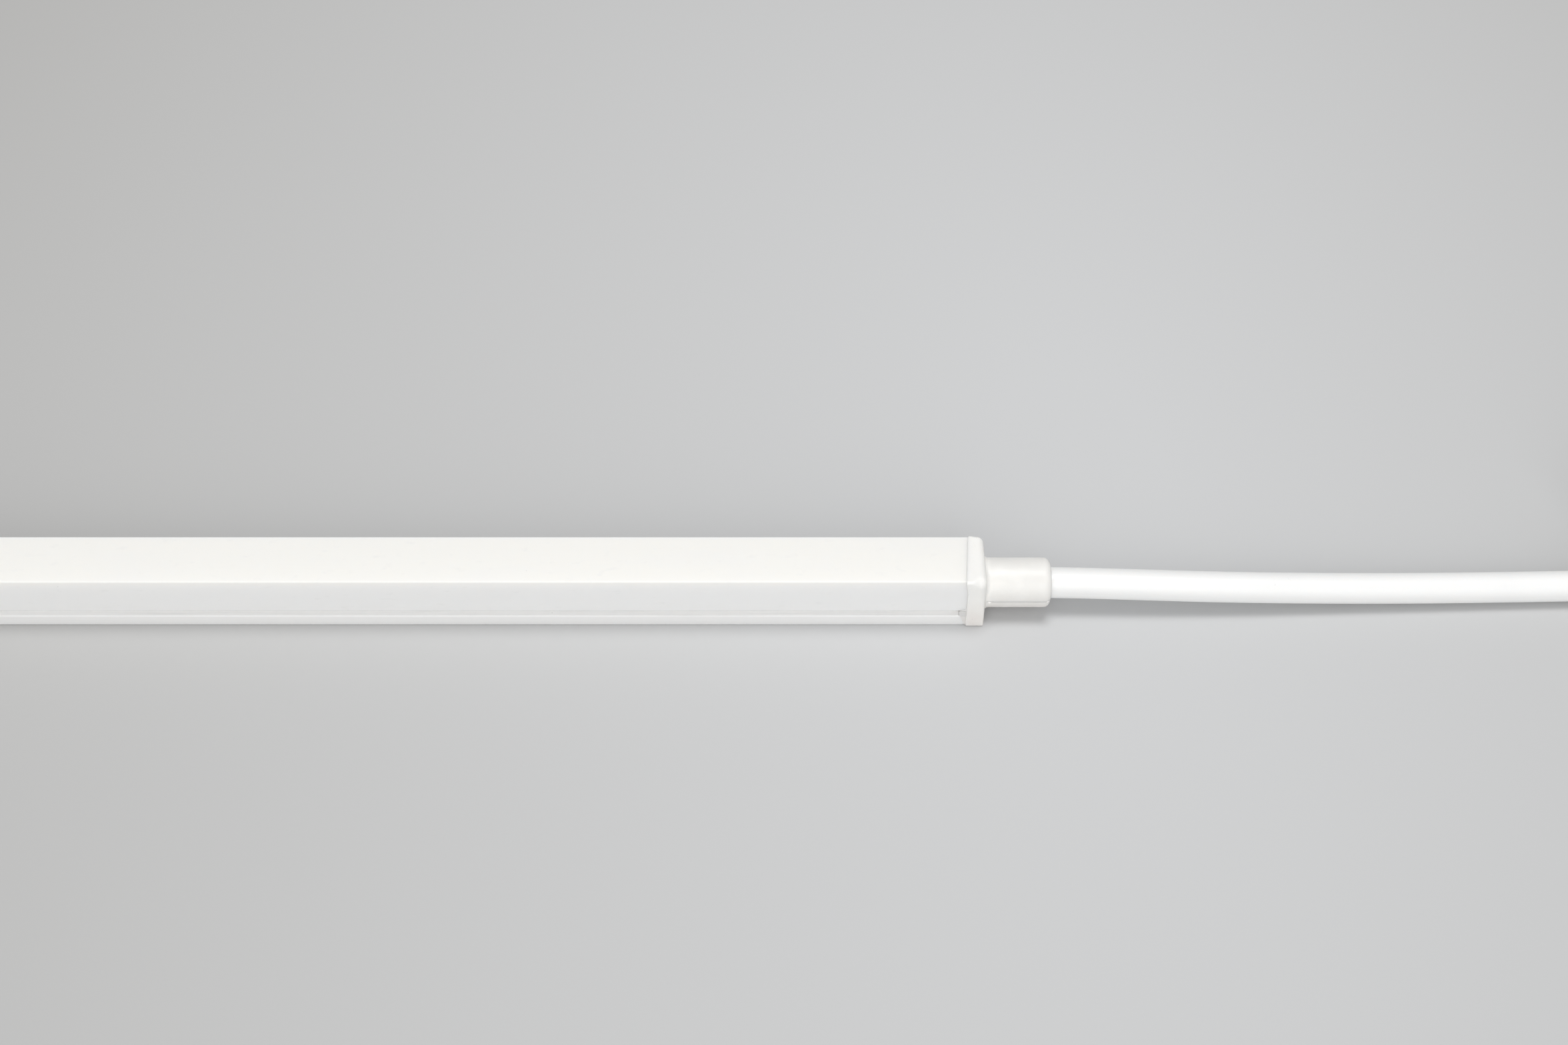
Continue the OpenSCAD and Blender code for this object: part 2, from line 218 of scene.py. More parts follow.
class Shells:
    """Collects closed shells, each a grid of points, into one mesh."""

    def __init__(self):
        self.points, self.faces, self.count = [], [], 0

    def add(self, grid, closed=False):
        """Adds a grid wrapped round its columns. Its first and last rows are closed by a
        face, or joined to each other where closed is true."""
        rows, cols, _ = grid.shape
        first = self.count
        self.points.append(grid.reshape(-1, 3))
        self.faces += quads(rows, cols, closed, first)
        if not closed:
            self.faces.append(list(range(first + cols - 1, first - 1, -1)))
            self.faces.append(list(range(first + (rows - 1) * cols, first + rows * cols)))
        self.count += rows * cols
        return self

    def piece(self, name, sharp=SHARP_ANGLE):
        """The shells as one smooth-shaded object, its faces turned outwards. Edges sharper
        than that many degrees stay sharp."""
        mesh = bpy.data.meshes.new(name)
        mesh.from_pydata(np.concatenate(self.points).tolist(), [], self.faces)
        piece = put(name, mesh)
        face_outwards(mesh)
        mesh.shade_smooth()
        mesh.set_sharp_from_angle(angle=math.radians(sharp))
        return piece


def face_outwards(mesh):
    """Merges doubled points, then turns every shell's faces outwards."""
    work = bmesh.new()
    work.from_mesh(mesh)
    bmesh.ops.remove_doubles(work, verts=work.verts, dist=1e-7)
    bmesh.ops.dissolve_degenerate(work, edges=work.edges, dist=1e-8)
    bmesh.ops.recalc_face_normals(work, faces=work.faces)
    work.to_mesh(mesh)
    work.free()


def rectangle(width, height):
    """The corners of a rectangle round the origin."""
    w, h = width / 2, height / 2
    return [(-w, -h), (w, -h), (w, h), (-w, h)]


def rounded_outline(corners, radii, steps):
    """A closed outline of straight sides with an arc of the given radius at each corner:
    the arc touches both sides, and its centre lies on the corner's bisector."""
    corners = np.asarray(corners, float)
    back = np.roll(corners, 1, 0) - corners
    ahead = np.roll(corners, -1, 0) - corners
    back /= np.linalg.norm(back, axis=1)[:, None]
    ahead /= np.linalg.norm(ahead, axis=1)[:, None]
    half = np.arccos(np.clip((back * ahead).sum(1), -1, 1)) / 2
    radii = np.broadcast_to(np.asarray(radii, float), half.shape)
    reach = radii / np.tan(half)
    bisector = back + ahead
    bisector /= np.linalg.norm(bisector, axis=1)[:, None]
    centre = corners + bisector * (radii / np.sin(half))[:, None]
    start = corners + back * reach[:, None] - centre
    end = corners + ahead * reach[:, None] - centre
    t = np.linspace(0, 1, steps)[None, :, None]
    arc = start[:, None] * (1 - t) + end[:, None] * t
    arc *= (radii[:, None] / np.linalg.norm(arc, axis=2))[:, :, None]
    return (centre[:, None] + arc).reshape(-1, 2)


def inward(outline):
    """Unit vectors that point into a closed outline at each of its points."""
    along = np.roll(outline, -1, 0) - np.roll(outline, 1, 0)
    along /= np.linalg.norm(along, axis=1)[:, None]
    normal = np.stack([-along[:, 1], along[:, 0]], 1)
    area = (outline[:, 0] * np.roll(outline[:, 1], -1)
            - outline[:, 1] * np.roll(outline[:, 0], -1)).sum()
    return normal * np.sign(area)


def distances(points):
    """How far along a line each of its points is."""
    return np.r_[0, np.linalg.norm(np.diff(points, axis=0), axis=1).cumsum()]


def places(points, far, at):
    """Points at the distances at along a line whose own points are at the distances far."""
    return np.stack([np.interp(at, far, column) for column in points.T], 1)


def evenly(outline, count):
    """A closed outline again, with count points at even distances along it."""
    loop = np.vstack([outline, outline[:1]])
    far = distances(loop)
    return places(loop, far, np.linspace(0, far[-1], count, endpoint=False))


def fine_line(points, step):
    """An open line through the points, divided so that no step is longer than step."""
    far = distances(points)
    return places(points, far, np.linspace(0, far[-1], int(far[-1] / step) + 2))


def extruded(outline, xs, inset):
    """A y, z outline carried along X through the places xs, drawn in by inset at each."""
    ring = outline[None] + inward(outline)[None] * inset[:, None, None]
    x = np.broadcast_to(xs[:, None, None], (len(xs), len(outline), 1))
    return np.concatenate([x, ring], -1)


def turned(profile, axis, sides=96, depth=None, rows=slice(None)):
    """A profile of x and radius turned round an axis along X at axis = (y, z). depth is a
    function of x and angle that is taken off the radius, in those rows of the profile."""
    x, r = profile[:, :1], np.repeat(profile[:, 1:], sides, 1)
    angle = np.linspace(0, 2 * np.pi, sides, endpoint=False)[None, :]
    if depth:
        r[rows] -= depth(x, angle)[rows]
    x = np.broadcast_to(x, r.shape)
    return np.stack([x, axis[0] + r * np.cos(angle), axis[1] + r * np.sin(angle)], -1)


def swept(path, radius, sides):
    """A round tube along a path that is never vertical: each ring lies across the path's
    direction, with one axis level and the other square to both."""
    ahead = np.gradient(path, axis=0)
    ahead /= np.linalg.norm(ahead, axis=1)[:, None]
    level = np.cross([0, 0, 1.0], ahead)
    level /= np.linalg.norm(level, axis=1)[:, None]
    up = np.cross(ahead, level)
    angle = np.linspace(0, 2 * np.pi, sides, endpoint=False)[None, :, None]
    return path[:, None] + radius * (np.cos(angle) * level[:, None]
                                     + np.sin(angle) * up[:, None])


def arc(centre_x, centre_r, radius, start, end, steps):
    """Points x, r of an arc between two angles, measured from the +X direction."""
    angle = np.radians(np.linspace(start, end, steps))
    return np.stack([centre_x + radius * np.cos(angle),
                     centre_r + radius * np.sin(angle)], 1)


def softened(path, width, step):
    """A path of even steps, smoothed by a bell-shaped average of that width. Both ends
    stay where they are, because the path is turned about them before it is averaged."""
    reach = int(4 * width / step)
    before = 2 * path[0] - path[reach:0:-1]
    after = 2 * path[-1] - path[-2:-reach - 2:-1]
    long = np.vstack([before, path, after])
    offset = np.arange(-reach, reach + 1) * step
    bell = np.exp(-0.5 * (offset / width) ** 2)
    bell /= bell.sum()
    return np.stack([np.convolve(long[:, k], bell, "valid") for k in range(3)], 1)


def settle(piece, material, nodes, body=TUBE_BODY):
    """Gives a new piece its material and its body, and hides the nodes it stands for."""
    piece.data.materials.clear()
    piece.data.materials.append(material)
    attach(piece, body)
    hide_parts(*nodes)


# ---------------------------------------------------------------- materials

class Finish:
    """A node material: a Principled surface whose colour, roughness and bump vary with
    patterns on the piece's own coordinates."""

    def __init__(self, name, colour, roughness):
        self.material = bpy.data.materials.get(name) or bpy.data.materials.new(name)
        self.material.use_nodes = True
        self.tree = self.material.node_tree
        self.tree.nodes.clear()
        out = self.node("ShaderNodeOutputMaterial")
        self.skin = self.node("ShaderNodeBsdfPrincipled")
        self.link(self.skin.outputs["BSDF"], out.inputs["Surface"])
        self.skin.inputs["Base Color"].default_value = (*colour, 1)
        self.skin.inputs["Roughness"].default_value = roughness
        self.material.diffuse_color = (*colour, 1)
        self.place = self.node("ShaderNodeTexCoord").outputs["Object"]
        self.height = None

    def node(self, kind, **values):
        """A new shader node of that kind, with those values set on it."""
        made = self.tree.nodes.new(kind)
        for key, value in values.items():
            setattr(made, key, value)
        return made

    def link(self, source, target):
        """Joins an output to an input."""
        self.tree.links.new(source, target)

    def stretch(self, scale):
        """The piece's coordinates, multiplied by scale along each axis."""
        mapping = self.node("ShaderNodeMapping")
        mapping.inputs["Scale"].default_value = scale
        self.link(self.place, mapping.inputs["Vector"])
        return mapping.outputs["Vector"]

    def along(self, axis):
        """The place on the piece along an axis in metres."""
        split = self.node("ShaderNodeSeparateXYZ")
        self.link(self.place, split.inputs["Vector"])
        return split.outputs[axis]

    def noise(self, scale, detail=3.0, stretch=(1, 1, 1)):
        """Soft noise with so many cells to the metre."""
        made = self.node("ShaderNodeTexNoise")
        made.inputs["Scale"].default_value = scale
        made.inputs["Detail"].default_value = detail
        self.link(self.stretch(stretch), made.inputs["Vector"])
        return made.outputs["Fac"]

    def between(self, value, low, high, to_low=0.0, to_high=1.0):
        """A value between low and high, spread between to_low and to_high."""
        made = self.node("ShaderNodeMapRange")
        for key, number in (("From Min", low), ("From Max", high), ("To Min", to_low),
                            ("To Max", to_high)):
            made.inputs[key].default_value = number
        self.link(value, made.inputs["Value"])
        return made.outputs["Result"]

    def times(self, one, other):
        """The product of two masks."""
        made = self.node("ShaderNodeMath", operation="MULTIPLY")
        self.link(one, made.inputs[0])
        self.link(other, made.inputs[1])
        return made.outputs["Value"]

    def specks(self, per_metre, size, keep):
        """Small round spots: the middles of random cells, in the share of cells kept."""
        cells = self.node("ShaderNodeTexVoronoi")
        cells.inputs["Scale"].default_value = per_metre
        self.link(self.place, cells.inputs["Vector"])
        spot = self.between(cells.outputs["Distance"], size, size * 0.6)
        split = self.node("ShaderNodeSeparateColor")
        self.link(cells.outputs["Color"], split.inputs["Color"])
        return self.times(spot, self.between(split.outputs["Red"], keep, keep - 0.02))

    def hairs(self, per_metre, width, keep):
        """Short hair-fine lines: where a noise crosses its middle value, kept only where
        a second noise is above keep."""
        line = self.noise(per_metre, 2)
        mask = self.between(self.noise(per_metre * 0.8, 1, (1.3, 0.9, 1.1)), keep,
                            keep + 0.02)
        for side in (0.5 - width, 0.5 + width):
            mask = self.times(mask, self.between(line, side, 0.5))
        return mask

    def tint(self, mask, colour):
        """Mixes another colour in where the mask is high."""
        mix = self.node("ShaderNodeMix", data_type="RGBA")
        self.link(mask, mix.inputs["Factor"])
        base = self.skin.inputs["Base Color"]
        if base.is_linked:
            self.link(base.links[0].from_socket, mix.inputs["A"])
        else:
            mix.inputs["A"].default_value = base.default_value
        mix.inputs["B"].default_value = (*colour, 1)
        self.link(mix.outputs["Result"], base)
        return self

    def rough(self, mask, low, high):
        """Roughness that goes from low to high with the mask."""
        self.link(self.between(mask, 0, 1, low, high), self.skin.inputs["Roughness"])
        return self

    def bump(self, mask, depth):
        """Raises the surface by depth where the mask is high."""
        made = self.node("ShaderNodeBump")
        made.inputs["Distance"].default_value = depth
        made.inputs["Strength"].default_value = 1.0
        self.link(mask, made.inputs["Height"])
        if self.height is not None:
            self.link(self.height, made.inputs["Normal"])
        self.height = made.outputs["Normal"]
        self.link(self.height, self.skin.inputs["Normal"])
        return self

    def soft(self, weight, depth, spread=(1.0, 0.95, 0.9)):
        """Lets light into the material by about depth."""
        self.skin.inputs["Subsurface Weight"].default_value = weight
        self.skin.inputs["Subsurface Radius"].default_value = spread
        self.skin.inputs["Subsurface Scale"].default_value = depth
        return self


def shade(colour, factor):
    """A colour made darker or lighter by a factor."""
    return tuple(min(1.0, c * factor) for c in colour)


def milky_silicone():
    """Satin extruded silicone: warmer and a little darker on top, partly its own tone and partly
    painted shade that evens the top against the sides, paler along the back edge and back side
    as a painted highlight, with faint streaks along X, a few smudges and dust specks."""
    colour = settings("profile").milky
    made = Finish("milky_silicone", colour, 0.42)
    made.soft(0.5, 2.0 * MM)
    top, back = SHELL_HIGH.z, SHELL_HIGH.y
    # Painted shade, partly the shell's own warmer tone: a warmer, slightly darker top that evens
    # it against the sides.
    made.tint(made.between(made.along("Z"), top - 1.5 * MM, top - 0.1 * MM),
              (0.92, 0.905, 0.865))
    # Painted highlight: a paler strip along the back edge and down the back side.
    made.tint(made.between(made.along("Y"), back - 1.0 * MM, back - 0.1 * MM),
              (0.96, 0.95, 0.93))
    made.tint(made.between(made.noise(140, 2, (0.25, 1, 1)), 0.52, 0.75, 0, 0.5),
              shade(colour, 0.965))
    made.tint(made.between(made.noise(520, 4, (0.6, 1, 1.6)), 0.62, 0.74, 0, 0.35),
              shade(colour, 0.9))
    made.tint(made.specks(230, 0.035, 0.25), shade(colour, 0.72))
    made.rough(made.noise(900, 3), 0.36, 0.52)
    made.bump(made.noise(2600, 3, (0.03, 1, 1)), 0.012 * MM)
    made.bump(made.noise(5200, 4), 0.006 * MM)
    return made.material


def opaque_silicone():
    """Opaque extruded silicone: die lines along X, a top ledge made paler by a painted
    highlight, and a little dirt.
    """
    colour = settings("profile").opaque
    made = Finish("opaque_silicone", colour, 0.5)
    made.soft(0.35, 1.2 * MM)
    top = FLANGE_HIGH.z
    # Painted highlight: the upward-facing top of the base is made paler, as light from above
    # would make it.
    made.tint(made.between(made.along("Z"), top - 0.4 * MM, top - 0.05 * MM),
              (0.985, 0.98, 0.97))
    made.tint(made.between(made.noise(1800, 3, (0.02, 1, 1)), 0.5, 0.7, 0, 0.5),
              shade(colour, 0.955))
    made.tint(made.specks(260, 0.04, 0.3), shade(colour, 0.7))
    made.rough(made.noise(800, 3), 0.42, 0.6)
    made.bump(made.noise(3600, 3, (0.02, 1, 1)), 0.012 * MM)
    return made.material


def cap_silicone():
    """Translucent moulded silicone: cloudy, with painted shade that makes the boot darker and
    the silicone darker and warmer towards its foot, with fine grain and a few hair-fine flaws."""
    colour = settings("caps").colour
    made = Finish("cap_silicone", colour, 0.4)
    made.soft(0.5, 0.8 * MM, (1.0, 0.96, 0.92))
    # Painted shade: the boot is darker than the cap.
    made.tint(made.between(made.along("X"), BOOT_FACE, BOOT_FACE + 1.5 * MM),
              shade(colour, 0.9))
    # Painted shade: darker and warmer towards the foot.
    made.tint(made.between(made.along("Z"), 8 * MM, 0), (0.81, 0.77, 0.735))
    made.tint(made.between(made.noise(260, 3), 0.45, 0.7, 0, 0.6), shade(colour, 0.97))
    made.tint(made.hairs(300, 0.004, 0.66), shade(colour, 0.86))
    made.tint(made.specks(420, 0.05, 0.2), shade(colour, 0.75))
    made.rough(made.noise(1400, 4), 0.32, 0.5)
    made.bump(made.noise(4200, 4), 0.012 * MM)
    made.bump(made.noise(500, 2), 0.03 * MM)
    return made.material


def sealant():
    """Glossy cured sealant with small bubbles."""
    made = Finish("sealant", (0.8, 0.83, 0.85), 0.2)
    made.soft(0.5, 1.0 * MM)
    made.tint(made.specks(1600, 0.18, 0.5), (0.9, 0.92, 0.94))
    made.bump(made.noise(900, 3), 0.06 * MM)
    return made.material


def jacket_silicone():
    """Smooth white silicone jacket with faint handling marks."""
    colour = settings("lead").colour
    made = Finish("jacket_silicone", colour, 0.36)
    made.soft(0.5, 1.5 * MM)
    made.tint(made.between(made.noise(90, 3), 0.5, 0.75, 0, 0.5), shade(colour, 0.97))
    made.tint(made.hairs(380, 0.004, 0.69), shade(colour, 0.86))
    made.tint(made.specks(300, 0.04, 0.2), shade(colour, 0.74))
    made.rough(made.noise(700, 3), 0.3, 0.46)
    made.bump(made.noise(3000, 3), 0.01 * MM)
    return made.material


def moulded_plastic(name, colour, roughness=0.35, grain=3800):
    """Moulded plastic with a fine spark grain and slight flow marks."""
    made = Finish(name, colour, roughness)
    made.tint(made.between(made.noise(220, 3), 0.45, 0.75, 0, 0.5), shade(colour, 0.94))
    made.rough(made.noise(1200, 3), roughness - 0.06, roughness + 0.1)
    made.bump(made.noise(grain, 3), 0.012 * MM)
    return made.material


def metal(name, colour, roughness, grain=2600):
    """Bare or plated metal with fine scratches."""
    made = Finish(name, colour, roughness)
    made.skin.inputs["Metallic"].default_value = 1.0
    made.tint(made.between(made.noise(900, 4), 0.45, 0.75, 0, 0.6), shade(colour, 0.8))
    made.rough(made.noise(1800, 4, (0.2, 1, 1)), roughness - 0.08, roughness + 0.15)
    made.bump(made.noise(grain, 3, (0.2, 1, 1)), 0.006 * MM)
    return made.material


def phosphor_gel():
    """Yellow phosphor in clear gel: fine grains under a wet surface."""
    colour = (0.86, 0.62, 0.10)
    made = Finish("phosphor_gel", colour, 0.18)
    made.tint(made.between(made.noise(9000, 2), 0.4, 0.6, 0, 0.7), (0.95, 0.78, 0.25))
    made.bump(made.noise(2400, 2), 0.01 * MM)
    made.skin.inputs["Coat Weight"].default_value = 0.4
    return made.material


def board_mask():
    """White solder mask over faint copper tracks that run along the board."""
    made = Finish("board_mask", (0.86, 0.86, 0.82), 0.32)
    wave = made.node("ShaderNodeTexWave", bands_direction="Y")
    wave.inputs["Scale"].default_value = 60
    made.link(made.place, wave.inputs["Vector"])
    track = made.between(wave.outputs["Fac"], 0.62, 0.7)
    made.tint(track, (0.8, 0.8, 0.75))
    made.bump(track, 0.02 * MM)
    made.rough(made.noise(1500, 3), 0.26, 0.4)
    return made.material


def carrier_tape():
    """Pale adhesive tape with a fibrous grain."""
    made = Finish("carrier_tape", (0.62, 0.57, 0.42), 0.6)
    made.tint(made.between(made.noise(1400, 4, (0.1, 1, 1)), 0.4, 0.65), (0.72, 0.68, 0.55))
    made.bump(made.noise(2400, 4), 0.02 * MM)
    return made.material


def floor_paint():
    """Pale matt board with a painted pool of light: darker and warmer away from its middle."""
    colour = settings("stage").floor_colour
    made = Finish("floor_paint", colour, 0.6)
    # Painted pool of light: the board darkens and warms away from a middle near the tube.
    middle = made.node("ShaderNodeMapping")
    middle.inputs["Location"].default_value = (-0.17 * 2.6, -0.03 * 1.3, 0)
    middle.inputs["Scale"].default_value = (2.6, 1.3, 1)
    made.link(made.place, middle.inputs["Vector"])
    painted_light_pool = made.node("ShaderNodeTexGradient", gradient_type="SPHERICAL")
    made.link(middle.outputs["Vector"], painted_light_pool.inputs["Vector"])
    made.tint(made.between(painted_light_pool.outputs["Fac"], 0.95, 0.2), (0.47, 0.465, 0.455))
    made.bump(made.noise(2200, 3), 0.006 * MM)
    return made.material


# ---------------------------------------------------------------- stage

CAMERA_TARGET = np.array([107.9, 21.9, 0.0]) * MM
FLOOR_HALF = 3.0
FLOOR_DROP = 0.02 * MM
OVERHEAD_SIZE = (0.5, 0.4)
OVERHEAD_OFFSET = np.array([0.08, 0.09, 1.2])
FRONT_OFFSET = np.array([-0.12, -0.9, 0.5])
FRONT_SPREAD = math.radians(50)
FILL_COLOUR = (0.99, 0.995, 1.0, 1)


class LIGHT_TUBE_OT_stage(bpy.types.Operator):
    """Make the floor, the camera, the two lights and the even fill"""
    bl_idname = "light_tube.stage"
    bl_label = "Stage"

    def execute(self, context):
        look = settings("stage")
        back = np.array([0, -math.cos(look.camera_rise), math.sin(look.camera_rise)])
        data = bpy.data.cameras.new("camera")
        data.sensor_width = 36
        data.lens = look.camera_lens
        data.clip_start = 0.01
        camera = put("camera", data)
        camera.location = CAMERA_TARGET + back * look.camera_distance
        camera.rotation_euler = (math.pi / 2 - look.camera_rise, 0, 0)
        context.scene.camera = camera
        context.scene.view_settings.view_transform = "Standard"
        self.floor()
        self.lights(context, look)
        return {"FINISHED"}

    def floor(self):
        """A level square just under everything."""
        corners = [(x, y, -FLOOR_DROP) for x, y in rectangle(2 * FLOOR_HALF, 2 * FLOOR_HALF)]
        mesh = bpy.data.meshes.new("floor")
        mesh.from_pydata(corners, [], [(0, 1, 2, 3)])
        floor = put("floor", mesh)
        mesh.materials.append(floor_paint())

    def lights(self, context, look):
        """A soft panel overhead, a wide soft light from the front, and an even fill."""
        panel = bpy.data.lights.new("overhead", "AREA")
        panel.shape = "RECTANGLE"
        panel.size, panel.size_y = OVERHEAD_SIZE
        panel.energy = look.overhead_power
        self.aim(panel, OVERHEAD_OFFSET)
        front = bpy.data.lights.new("front", "SUN")
        front.angle = FRONT_SPREAD
        front.energy = look.front_strength
        self.aim(front, FRONT_OFFSET)
        world = bpy.data.worlds.new("fill")
        world.use_nodes = True
        background = world.node_tree.nodes["Background"]
        background.inputs["Color"].default_value = FILL_COLOUR
        background.inputs["Strength"].default_value = look.fill
        context.scene.world = world

    def aim(self, data, offset):
        """Puts a light that far from what the camera looks at, and turns it to face it."""
        light = put(data.name, data)
        light.location = CAMERA_TARGET + offset
        light.rotation_euler = Vector(-offset).to_track_quat("-Z", "Y").to_euler()


# ---------------------------------------------------------------- lead

# The lead's run: how far past the boot each point is, and how far it lies to one side.
RUN_POINTS = np.array([
    (0, 0), (7.2, -0.11), (15.2, -0.27), (23.2, -0.35), (31.2, -0.36), (39.2, -0.27),
    (48.2, -0.07), (58.2, 0.18), (69.2, 0.49), (81.2, 0.86), (93.2, 1.22), (105.2, 1.56),
    (117.2, 1.85), (129.2, 2), (141.2, 2), (153.2, 2), (165.2, 2), (177.2, 2),
    (189.2, 2)]) * MM

# How far the lead takes to settle on the floor, to climb onto the tie's strap and to reach
# the connector, how long the hank's waist is, and the steps and smoothing of its path.
SETTLE_LENGTH = 115 * MM
CLIMB_LENGTH = 36 * MM
TAIL_LENGTH = 32 * MM
WAIST_LENGTH = 12 * MM
PATH_STEP = 0.5 * MM
PATH_SOFTNESS = 3.7 * MM

# The cable tie's strap, and its head seen from above.
STRAP_THICKNESS = 1 * MM
STRAP_WIDTH = 2.5 * MM
TIE_HEAD = (4.4 * MM, 3.0 * MM)


def run_path(diameter):
    """From the boot to the hank. The height falls as a stiff strip's does, as 1 less six t
    squared, plus eight t cubed, less three t to the fourth, until the lead lies on the
    floor, and then climbs smoothly onto the tie's strap."""
    far, side = RUN_POINTS.T
    t = np.minimum(far / SETTLE_LENGTH, 1)
    sag = 1 - 6 * t ** 2 + 8 * t ** 3 - 3 * t ** 4
    climb = STRAP_THICKNESS * ease(far[-1] - CLIMB_LENGTH, far[-1], far)
    return np.column_stack([FEED_HIGH.x + far, side, diameter / 2
                            + (BOOT_AXIS - diameter / 2) * sag + climb])


def tail_path(diameter):
    """From the waist's other run to the connector's axis, on a smooth step."""
    t = np.linspace(0, 1, 9)
    y = RUN_POINTS[-1, 1] + diameter
    z = diameter / 2 + STRAP_THICKNESS
    return np.column_stack([HANK_LOW.x - TAIL_LENGTH * t,
                            y + (NUT_AXIS[0] - y) * ease(0, 1, t),
                            z + (NUT_AXIS[1] - z) * ease(0, 1, t)])


def hank_path(fold, diameter):
    """The folded run: out of the waist at a slant, round an arc, and back to the waist.
    The slant's sine is the arc's radius less half a diameter, over the arc's distance."""
    start = HANK_LOW.x + WAIST_LENGTH
    outer = fold + diameter / 2
    centre = np.array([HANK_HIGH.x - outer, (HANK_LOW.y + HANK_HIGH.y) / 2])
    lean = math.asin((fold - diameter / 2) / (centre[0] - start))
    drawn = fold + PATH_SOFTNESS ** 2 / (2 * fold)
    turn = np.linspace(-math.pi / 2 - lean, math.pi / 2 + lean, 90)
    bend = centre + drawn * np.stack([np.cos(turn), np.sin(turn)], 1)
    plan = fine_line(np.vstack([(start, centre[1] - diameter / 2), bend,
                                (start, centre[1] + diameter / 2)]), PATH_STEP)
    rise = STRAP_THICKNESS * ease(start + 2 * WAIST_LENGTH, start, plan[:, 0])
    return np.column_stack([plan, diameter / 2 + rise])


def lead_path(fold, diameter):
    """The whole centreline: from just inside the boot, along the floor, round the hank
    and up into the connector, at even steps."""
    inside = (FEED_HIGH.x - 2 * MM, 0, BOOT_AXIS)
    points = np.vstack([[inside], run_path(diameter), hank_path(fold, diameter),
                        tail_path(diameter)])
    return softened(fine_line(points, PATH_STEP), PATH_SOFTNESS, PATH_STEP)


class LIGHT_TUBE_OT_lead(bpy.types.Operator):
    """Make the lead as one smooth tube of its real length"""
    bl_idname = "light_tube.lead"
    bl_label = "Lead"

    def execute(self, context):
        lead = settings("lead")
        path = lead_path(lead.fold, lead.diameter)[::2]
        piece = Shells().add(swept(path, lead.diameter / 2, 40)).piece("lead")
        settle(piece, jacket_silicone(),
               ("lead_run", "lead_hank", "lead_tail"))
        context.scene["light_tube_lead_path"] = path.reshape(-1).tolist()
        return {"FINISHED"}


def declare_lead():
    """Reads the lead's settings and does nothing more."""
    lead = settings("lead")


class LIGHT_TUBE_OT_cable_tie(bpy.types.Operator):
    """Make the nylon tie round the hank's waist"""
    bl_idname = "light_tube.cable_tie"
    bl_label = "Cable tie"

    def execute(self, context):
        radius = settings("lead").diameter / 2
        x = (TIE_LOW.x + TIE_HIGH.x) / 2
        y = (TIE_LOW.y + TIE_HIGH.y) / 2
        z = radius + STRAP_THICKNESS
        loop = self.loop(radius, radius + STRAP_THICKNESS / 2)
        section = rounded_outline(rectangle(STRAP_WIDTH, STRAP_THICKNESS), 0.25 * MM, 4)
        ring = loop[:, None] - inward(loop)[:, None] * section[None, :, 1:]
        across = np.broadcast_to(section[None, :, :1], (len(loop), len(section), 1))
        strap = np.concatenate([across, ring], -1) + np.array([x, y, z])
        shells = Shells().add(strap, closed=True)
        top = z + radius
        shells.add(self.post(x, y, top + 0.1 * MM, TIE_HIGH.z - 0.9 * MM, TIE_HEAD,
                             0.5 * MM))
        shells.add(self.post(x, y + 0.2 * MM, top + 0.5 * MM, TIE_HIGH.z,
                             (STRAP_WIDTH, STRAP_THICKNESS), 0.2 * MM))
        piece = shells.piece("cable_tie_loop")
        settle(piece, moulded_plastic("tie_nylon", (0.80, 0.80, 0.76), 0.32),
               ("cable_tie",))
        return {"FINISHED"}

    def loop(self, half, radius):
        """The strap's line: two half circles round the two runs, which lie that half
        distance either side of the middle, joined by flats."""
        turn = np.linspace(-np.pi / 2, np.pi / 2, 24)
        right = np.stack([half + radius * np.cos(turn), radius * np.sin(turn)], 1)
        return evenly(np.vstack([right, -right]), 96)

    def post(self, x, y, low, high, size, edge):
        """An upright block with rounded upright edges and a rounded top."""
        outline = rounded_outline(rectangle(*size), edge, 5)
        turn = np.linspace(0, np.pi / 2, 6)
        z = np.r_[low, high - edge + edge * np.sin(turn)]
        inset = np.r_[0, edge * (1 - np.cos(turn))]
        ring = outline[None] + inward(outline)[None] * inset[:, None, None]
        up = np.broadcast_to(z[:, None, None], (len(z), len(outline), 1))
        return np.concatenate([ring + np.array([x, y]), up], -1)


# ---------------------------------------------------------------- silicone profile

def profile_piece(name, corners, radii, tuck):
    """A profile carried along the tube and tucked into both caps, its two end edges drawn
    in a little."""
    edge = 0.05 * MM
    outline = rounded_outline(corners, radii, 7)
    x0, x1 = SHELL_LOW.x - tuck, SHELL_HIGH.x + tuck
    xs = np.r_[x0, np.linspace(x0 + edge, x1 - edge, 62), x1]
    inset = np.r_[edge, np.zeros(len(xs) - 2), edge]
    return Shells().add(extruded(outline, xs, inset)).piece(name)


